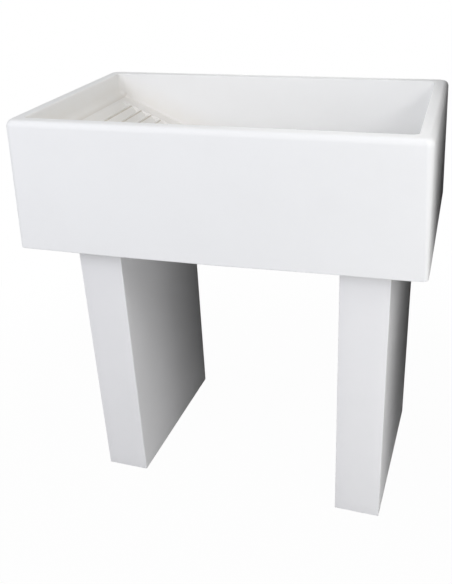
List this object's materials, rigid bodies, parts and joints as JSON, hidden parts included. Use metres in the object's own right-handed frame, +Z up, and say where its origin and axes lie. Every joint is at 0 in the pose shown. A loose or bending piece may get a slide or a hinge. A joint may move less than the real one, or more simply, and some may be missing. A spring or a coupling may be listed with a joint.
{
  "type": "utility laundry sink",
  "caption": "Deep rectangular laundry tub in white cast stone with an integral sloping washboard, standing on two slab pedestals, with a waste fitting and a lift-out plug.",
  "frame": {"origin": "on the floor, under the middle of the tub", "axes": "+X along the tub from the washboard end to the drain end, -Y towards the person at the sink, +Z up"},
  "size_m": [0.8148, 0.4928, 0.8486],
  "materials": {
    "cast_stone": "smooth satin, faintly mottled white",
    "pedestal_stone": "smooth matte white",
    "mortar": "rough matte grey",
    "chrome": "polished",
    "brass": "dull turned brass",
    "black_rubber": "matte",
    "plug_rubber": "moulded matte",
    "white_plastic": "moulded satin",
    "steel": "drawn wire, bright"
  },
  "bodies": {
    "sink": {"tub": "cast_stone", "pedestal_left": "pedestal_stone", "pedestal_right": "pedestal_stone", "mortar_bed_left": "mortar", "mortar_bed_right": "mortar", "waste_body": "chrome", "flange_seal": "black_rubber", "rubber_washer": "black_rubber", "slip_washer": "white_plastic", "back_nut": "brass", "tail_washer": "black_rubber", "coupling_nut": "white_plastic", "tailpiece": "white_plastic"},
    "plug": {"plug": "plug_rubber", "plug_eye": "steel"},
    "ring": {"pull_ring": "steel"}
  },
  "joints": [
    {"name": "plug_lift", "type": "slide", "parent": "sink", "child": "plug", "axis": [0, 0, 1], "range_m": [0, 0.15]},
    {"name": "ring_swing", "type": "hinge", "parent": "plug", "child": "ring", "pos_m": [0.165, 0, 0.6297], "axis": [0, -1, 0], "range_deg": [0, 210]}
  ]
}
